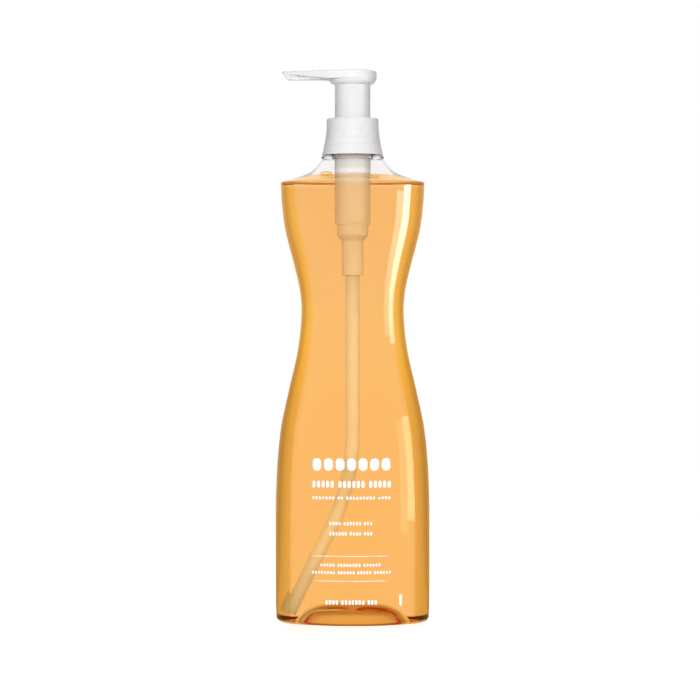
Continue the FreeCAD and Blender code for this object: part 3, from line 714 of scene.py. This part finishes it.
clearBottle = clearPlastic()
clearNeck = thickClear()
liquid = amberSoap()
# painted shade darkens the head towards the spout's tip
whiteHead = mouldedPlastic("whiteHeadPlastic", (0.87, 0.87, 0.875, 1), 0.30,
                           tipShade=(0.78, 0.78, 0.785, 1))
milkyClosure = mouldedPlastic("milkyClosurePlastic", (0.97, 0.97, 0.975, 1), 0.28, translucent=0.10, clear=0.12,
                              shadows=threadLines)
milkyPump = mouldedPlastic("milkyPumpPlastic", (0.97, 0.97, 0.98, 1), 0.32, translucent=0.20, clear=0.34,
                           clearDry=0.06)
milkyTube = mouldedPlastic("milkyTubePlastic", (0.94, 0.98, 1.0, 1), 0.30, translucent=0.30, clear=0.45)
softSeal = mouldedPlastic("softSealPlastic", (0.80, 0.80, 0.78, 1), 0.45, grain=2.0)
springWire = springSteel("springWireSteel", (0.62, 0.61, 0.60, 1), 0.24, 900)
ballSteel = springSteel("ballSteel", (0.70, 0.70, 0.71, 1), 0.14, 400)
ink = printInk()

finishOf = {
    "gasket": softSeal, "closure": milkyClosure, "pump_housing": milkyPump, "stem_guide": milkyPump,
    "stem": milkyPump, "outlet_plug": milkyPump, "piston_seal": softSeal, "valve_ball": ballSteel,
}
for nodeName, finish in finishOf.items():
    mesh = nodes[nodeName].data
    mesh.materials.clear()
    mesh.materials.append(finish)
print("finishes ready")

makeBottle(clearBottle, clearNeck)
makeSoap(liquid)
print("bottle and soap ready")


dipTube = {
    "radius": 3.0, "bore": 2.2, "top": 181.4, "corner": 65.5, "bend": 115.0, "end": (-27.2, 4.8), "columns": 40,
}


def tubeLine(top, corner, bend, end, count=120):
    # straight down, one arc that touches both runs, and straight to the end; returns points and directions
    away = np.array([end[0], end[1] - corner]) / math.hypot(end[0], end[1] - corner)
    half = math.acos(-away[1]) / 2
    tangent = bend * math.tan(half)
    turn = np.linspace(0, 2 * half, count)
    arcX = -bend * (1 - np.cos(turn))
    arcZ = corner + tangent - bend * np.sin(turn)
    x = np.concatenate([[0, 0], arcX, [end[0]]])
    z = np.concatenate([[top, (top + corner + tangent) / 2], arcZ, [end[1]]])
    angle = np.concatenate([[0, 0], turn, [2 * half]])
    return x, z, angle


def makeDipTube(material, spec):
    # circles carried along the line; out along the outside and back along the bore
    x, z, angle = tubeLine(spec["top"], spec["corner"], spec["bend"], spec["end"])
    around = np.linspace(0, 2 * math.pi, spec["columns"], endpoint=False)

    def skin(radius):
        across = radius * np.cos(around)[None, :]
        px = x[:, None] + across * np.cos(angle)[:, None]
        pz = z[:, None] - across * np.sin(angle)[:, None]
        py = radius * np.sin(around)[None, :] + 0 * px
        return np.stack([px, py, pz], axis=-1)

    rings = np.concatenate([skin(spec["radius"]), skin(spec["bore"])[::-1]]) * mm
    piece = closedRings("dipTube", rings, material, "pump_body", loop=True)
    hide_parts("dip_tube")


makeDipTube(milkyTube, dipTube)


head = {
    "top": 263.9,
    "lipTop": 263.65,
    "lipBottom": 259.6,
    "underside": 259.9,
    "tipThickness": 1.3,
    "backRadius": 11.5,
    "tipRadius": 3.6,
    "reach": 34.0,
    "slant": 0.716,              # how far the nozzle's end stands back for each mm down
    "round": 1.0,                # top edge
    "under": 0.2,                # lower edge
    "middle": -8.0,              # the plate's rings shrink towards this point
    "barHalf": 2.1,              # foot of the spout
    "scoopHalf": 1.7,            # where the scooped side of the spout meets its foot
    "footHeight": 0.6,
    "boreRadius": 0.85,
    "boreHeight": 261.2,
    "boreDepth": 10.0,
    "edge": 0.06,
}


def topOf(x):
    return head["top"] - (head["top"] - head["lipTop"]) * np.clip(-x / head["reach"], 0, 1)


def undersideOf(x):
    # level under the bowl, then rising in a straight line to the nozzle
    back = head["backRadius"]
    share = np.clip((-x - back) / (head["reach"] - back), 0, 1)
    return head["underside"] + share * (head["lipTop"] - head["tipThickness"] - head["underside"])


def endOf(z):
    # the slanted plane that cuts the nozzle
    return -head["reach"] + head["slant"] * (head["lipTop"] - z)


def dropOutline():
    # points and outward directions of a round back and a round tip joined by two straight sides
    back, tip = head["backRadius"], head["tipRadius"]
    span = head["reach"] - tip
    lean = math.asin((back - tip) / span)
    around = np.linspace(-math.pi / 2 - lean, math.pi / 2 + lean, 73)
    backArc = np.stack([back * np.cos(around), back * np.sin(around)], axis=1)
    side = np.linspace(0, 1, 26)[1:-1, None]
    turn = np.linspace(math.pi / 2 + lean, 3 * math.pi / 2 - lean, 25)
    tipArc = np.stack([-span + tip * np.cos(turn), tip * np.sin(turn)], axis=1)
    points = np.vstack([backArc, backArc[-1] + side * (tipArc[0] - backArc[-1]), tipArc,
                        tipArc[-1] + side * (backArc[0] - tipArc[-1])])
    angle = np.concatenate([around, np.full(24, around[-1]), turn, np.full(24, turn[-1])])
    return points, np.stack([np.cos(angle), np.sin(angle)], axis=1)


def plateShell():
    # rings of the drop outline: moved in for the edges, shrunk to the middle for the faces
    outline, outward = dropOutline()
    middle = np.array([head["middle"], 0])

    def ring(inset, shrink, heightOf):
        plan = middle + shrink * (outline - outward * inset - middle)
        z = heightOf(plan[:, 0])
        x = np.maximum(plan[:, 0], endOf(z))
        return np.stack([x, plan[:, 1], z], axis=1)

    under, edge = head["under"], head["round"]
    rows = [ring(under, share, undersideOf) for share in (0.3, 0.6, 0.85)]
    for turn in np.linspace(0, math.pi / 2, 4):
        rows.append(ring(under * (1 - math.sin(turn)), 1, lambda x: undersideOf(x) + under * (1 - math.cos(turn))))
    for turn in np.linspace(0, math.pi / 2, 8):
        rows.append(ring(edge * (1 - math.cos(turn)), 1, lambda x: topOf(x) - edge * (1 - math.sin(turn))))
    rows += [ring(edge, share, topOf) for share in (0.85, 0.6, 0.3)]
    low = (head["middle"], 0, head["underside"])
    high = (head["middle"], 0, float(topOf(head["middle"])))
    return closedShell(np.array(rows) * mm, np.array(low) * mm, np.array(high) * mm)


def spoutShell():
    # cross sections from the nozzle back into the bowl, scooped below the plate, and the bore inside the nozzle
    foot = head["lipBottom"]
    rows = []
    for x in np.concatenate([np.linspace(-head["reach"], -26, 14), np.linspace(-24, -3, 14)]):
        half = np.interp(-x, [11.5 * 0.26, 30.4], [11.1, 3.5])
        roof = float(undersideOf(x)) + 0.35
        right = np.array([
            (half, roof), (head["scoopHalf"], foot + head["footHeight"] + 0.15), (head["barHalf"], foot + head["footHeight"]),
            (head["barHalf"], foot + 0.35), (head["barHalf"] - 0.12, foot + 0.12), (head["barHalf"] - 0.35, foot),
        ])
        loop = crisp(np.vstack([right, right[::-1] * (-1, 1)]), head["edge"], closed=True)
        rows.append(np.stack([np.full(len(loop), x), loop[:, 0], loop[:, 1]], axis=1))
    rings = np.array(rows)
    rings[:, :, 0] = np.maximum(rings[:, :, 0], endOf(rings[:, :, 2]))
    mouth = rings[0].copy()
    centre = np.array([0, head["boreHeight"]])
    ray = mouth[:, 1:] - centre
    mouth[:, 1:] = centre + head["boreRadius"] * ray / np.linalg.norm(ray, axis=1, keepdims=True)
    mouth[:, 0] = endOf(mouth[:, 2])
    deep = mouth.copy()
    deep[:, 0] = head["boreDepth"] - head["reach"]
    rings = np.concatenate([[deep, mouth], rings]) * mm
    return closedShell(rings, np.array([head["boreDepth"] - head["reach"], 0, head["boreHeight"]]) * mm,
                       np.array([-3.0, 0, head["underside"]]) * mm)


def bowlShell():
    # one turned wall: skirt, bowl, and the hub with its socket for the stem
    flare = np.linspace(0, 1, 12)[:, None]
    start, rim = np.array([8.5, 257.2]), np.array([11.2, 260.2])
    bow = 4 * flare * (1 - flare) * 0.7 * np.array([0.743, -0.669])
    corners = np.vstack([start + flare * (rim - start) + bow,
                         [(11.2, 262.0), (1.9, 262.0), (1.9, 259.9), (3.15, 259.9), (3.15, 246.3), (4.4, 246.3),
                          (4.4, 257.2), (7.6, 257.2), (7.6, 240.0), (8.5, 240.0)]])
    wall = crisp(corners, head["edge"], closed=True)
    turn = np.linspace(0, 2 * math.pi, 96, endpoint=False)
    rings = np.stack([wall[:, :1] * np.cos(turn), wall[:, :1] * np.sin(turn), wall[:, 1:] + 0 * turn[None, :]], axis=-1)
    return closedShell(rings * mm, loop=True)


def makeHead(material):
    points = []
    faces = []
    for shellPoints, shellFaces in (plateShell(), spoutShell(), bowlShell()):
        faces += [face + sum(len(p) for p in points) for face in shellFaces]
        points.append(shellPoints)
    piece = pieceFrom("pumpHead", np.vstack(points), faces, material, "head_body")
    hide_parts("actuator")


makeHead(whiteHead)


spring = {
    "radius": 5.75,
    "wire": 0.45,
    "turns": 7,
    "bottom": 192.1,
    "top": 214.2,
    "stroke": 14.0,              # how far the plug above it comes down when the head is pressed
    "steps": 420,
    "columns": 14,
}


def makeSpring(material, spec):
    # a round wire along a helix whose last turn at each end lies nearly flat
    u = np.linspace(0, 1, spec["steps"])
    turns = spec["turns"]
    angle = 2 * math.pi * turns * u
    pitch = np.interp(u, [0, 0.6 / turns, 1.2 / turns, 1 - 1.2 / turns, 1 - 0.6 / turns, 1], [0.3, 0.3, 1, 1, 0.3, 0.3])
    rise = np.concatenate([[0], np.cumsum((pitch[1:] + pitch[:-1]) / 2)])
    rise /= rise[-1]
    low = spec["bottom"] + spec["wire"]
    height = low + (spec["top"] - spec["wire"] - low) * rise
    centre = np.stack([spec["radius"] * np.cos(angle), spec["radius"] * np.sin(angle), height], axis=1)
    outward = np.stack([np.cos(angle), np.sin(angle), 0 * angle], axis=1)
    along = np.gradient(centre, axis=0)
    along /= np.linalg.norm(along, axis=1, keepdims=True)
    upward = np.cross(along, outward)
    turn = np.linspace(0, 2 * math.pi, spec["columns"], endpoint=False)
    rings = (centre[:, None] + spec["wire"] * (np.cos(turn)[None, :, None] * outward[:, None]
                                               + np.sin(turn)[None, :, None] * upward[:, None])) * mm
    piece = closedRings("returnSpring", rings, material, "pump_body",
                        firstPole=centre[0] * mm, lastPole=centre[-1] * mm)
    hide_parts("return_spring")
    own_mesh(piece)


makeSpring(springWire, spring)
print("tube and spring ready")


thread = {"root": 10.85, "crest": 11.85, "pitch": 3.175, "bottom": 226.2, "turns": 2.3, "foot": 1.15, "head": 0.45,
          "steps": 260}


def makeThread(material, spec):
    # a blunt ridge carried round the neck, sinking into it at both ends
    u = np.linspace(0, 1, spec["steps"])
    angle = 2 * math.pi * spec["turns"] * u
    fade = np.clip(np.minimum(u, 1 - u) / 0.06, 0.04, 1) ** 0.5
    height = spec["bottom"] + spec["pitch"] * spec["turns"] * u
    crest = spec["root"] + (spec["crest"] - spec["root"]) * fade
    corners = np.array([(0, -spec["foot"]), (1, -spec["head"]), (1, spec["head"]), (0, spec["foot"]), (-0.3, 0)])
    radius = np.where(corners[None, :, 0] > 0, crest[:, None], spec["root"] + corners[None, :, 0])
    rings = np.stack([radius * np.cos(angle)[:, None], radius * np.sin(angle)[:, None],
                      height[:, None] + corners[None, :, 1]], axis=-1) * mm
    closedRings("neckThread", rings, material, "bottle_body",
                firstPole=rings[0].mean(0), lastPole=rings[-1].mean(0), smooth=False)


makeThread(clearNeck, thread)


# the film's own tint, and painted shade for its rim
bubble = {"place": (-12.4, -17.0, 213.9), "size": (2.9, 2.2, 1.15), "film": (1.0, 0.90, 0.66, 1),
          "rim": (0.70, 0.34, 0.08, 1)}


def bubbleSkin(spec):
    # a thin clear film with painted shade at its rim, in the colour of the liquid
    material, tree = newMaterial("bubbleFilm")
    slant = addNode(tree, "ShaderNodeLayerWeight").outputs["Facing"]
    edge = addNode(tree, "ShaderNodeMapRange", {"Value": slant, "From Min": 0.45, "From Max": 0.95}).outputs["Result"]
    seen = addNode(tree, "ShaderNodeMix", {"A": spec["film"], "B": spec["rim"], "Factor": edge},
                   data_type="RGBA").outputs["Result"]
    through = addNode(tree, "ShaderNodeBsdfTransparent", {"Color": seen})
    mirror = addNode(tree, "ShaderNodeBsdfGlossy", {"Color": (1, 1, 1, 1), "Roughness": 0.03})
    mixed = addNode(tree, "ShaderNodeMixShader", {0: 0.06, 1: through.outputs[0], 2: mirror.outputs[0]})
    output(tree, mixed.outputs[0])
    return material


def makeBubble(spec):
    # a flattened sphere of rings
    rise = np.linspace(-math.pi / 2, math.pi / 2, 18)[1:-1, None]
    turn = np.linspace(0, 2 * math.pi, 32, endpoint=False)[None, :]
    unit = np.stack([np.cos(rise) * np.cos(turn), np.cos(rise) * np.sin(turn), np.sin(rise) + 0 * turn], axis=-1)
    place, size = np.array(spec["place"]), np.array(spec["size"])
    closedRings("levelBubble", (place + size * unit) * mm, bubbleSkin(spec), "bottle_body",
                firstPole=(place - (0, 0, size[2])) * mm, lastPole=(place + (0, 0, size[2])) * mm)


makeBubble(bubble)
print("thread and bubble ready")


printMarks = {
    # each line: height of its middle, its height, left and right end, marks in each group, width of a mark to its gap
    "lines": [
        (76.9, 6.0, -19.1, 18.0, [7], 4.0),
        (67.6, 3.4, -19.1, 18.0, [5, 6, 5], 2.6),
        (61.2, 1.5, -19.1, 17.8, [7, 2, 9, 4], 2.4),
        (49.2, 1.7, -11.0, 9.2, [4, 6, 3], 2.4),
        (44.4, 1.7, -11.0, 9.2, [6, 4, 3], 2.4),
        (29.6, 1.5, -15.2, 13.1, [5, 8, 6], 2.4),
        (26.1, 1.5, -19.1, 18.0, [8, 6, 5, 6], 2.4),
        (12.1, 2.3, -12.9, 11.5, [4, 7, 3], 2.6),
    ],
    # thin rules: height, thickness, left and right end
    "rules": [(33.8, 0.30, -19.1, 18.0), (22.1, 0.30, -19.1, 17.4)],
    # small upright mark near the base: left and right end, and its lower and upper end
    "corner": (22.0, 23.3, 9.8, 15.6),
    "groupGap": 1.3,             # between groups, in widths of a mark
    "ink": 0.04,
}


def frontFace(x, z, proud):
    # the bottle's front panel: an arc about a point behind it, at each height
    a = bottle["creaseStart"]
    b = bottle["creaseEnd"]
    c = bottle["creaseRadius"]
    w = hermite(bottle["height"], bottle["halfWidth"], z)
    d = hermite(bottle["height"], bottle["halfDepth"], z)
    wide = w - c * (math.sin(b) - math.sin(a))
    deep = d - c * (math.cos(a) - math.cos(b))
    det = math.sin(a) * math.cos(b) - (1 - math.sin(b)) * (1 - math.cos(a))
    panel = (wide * math.cos(b) - deep * (1 - math.sin(b))) / det
    return -(d - panel + np.sqrt((panel + proud) ** 2 - x**2))


def printBoxes(spec):
    # rows of (left, right, bottom, top) for the even marks of each line, the rules and the small upright mark
    boxes = [(left, right, z - thick / 2, z + thick / 2) for z, thick, left, right in spec["rules"]]
    boxes.append(spec["corner"])
    for middle, tall, left, right, groups, ratio in spec["lines"]:
        count = sum(groups)
        gap = 1 / ratio
        unit = (right - left) / (count + gap * (count - len(groups)) + spec["groupGap"] * (len(groups) - 1))
        start = left
        for group in groups:
            for place in range(group):
                boxes.append((start, start + unit, middle - tall / 2, middle + tall / 2))
                start += unit * (1 + gap)
            start += unit * (spec["groupGap"] - gap)
    return np.array(boxes)


def makePrint(material, spec):
    # marks with round corners laid on the panel: the half length at each height follows a circle at the corners
    left, right, low, high = printBoxes(spec).T[:, :, None, None]
    u = np.linspace(-1, 1, 7)[None, None, :]
    v = np.sin(np.linspace(-math.pi / 2, math.pi / 2, 7))[None, :, None]
    wide = (right - left) / 2
    tall = (high - low) / 2
    cap = np.minimum(wide, tall) * 0.85
    into = np.clip(np.abs(v) * tall - (tall - cap), 0, cap)
    x = (left + right) / 2 + u * (wide - cap + np.sqrt(cap**2 - into**2))
    z = (low + high) / 2 + v * tall + 0 * u
    y = frontFace(x, z, spec["ink"])
    points = np.stack([x, y, z], axis=-1) * mm
    count, rows, columns = x.shape
    grid = np.arange(count * rows * columns).reshape(count, rows, columns)
    quads = np.stack([grid[:, :-1, :-1], grid[:, :-1, 1:], grid[:, 1:, 1:], grid[:, 1:, :-1]], axis=-1).reshape(-1, 4)
    piece = pieceFrom("frontPrint", points, quads, material, "bottle_body")
    solid = piece.modifiers.new("inkDepth", "SOLIDIFY")
    solid.thickness = spec["ink"] * 1.5 * mm
    solid.offset = -1


makePrint(ink, printMarks)
print("print ready")
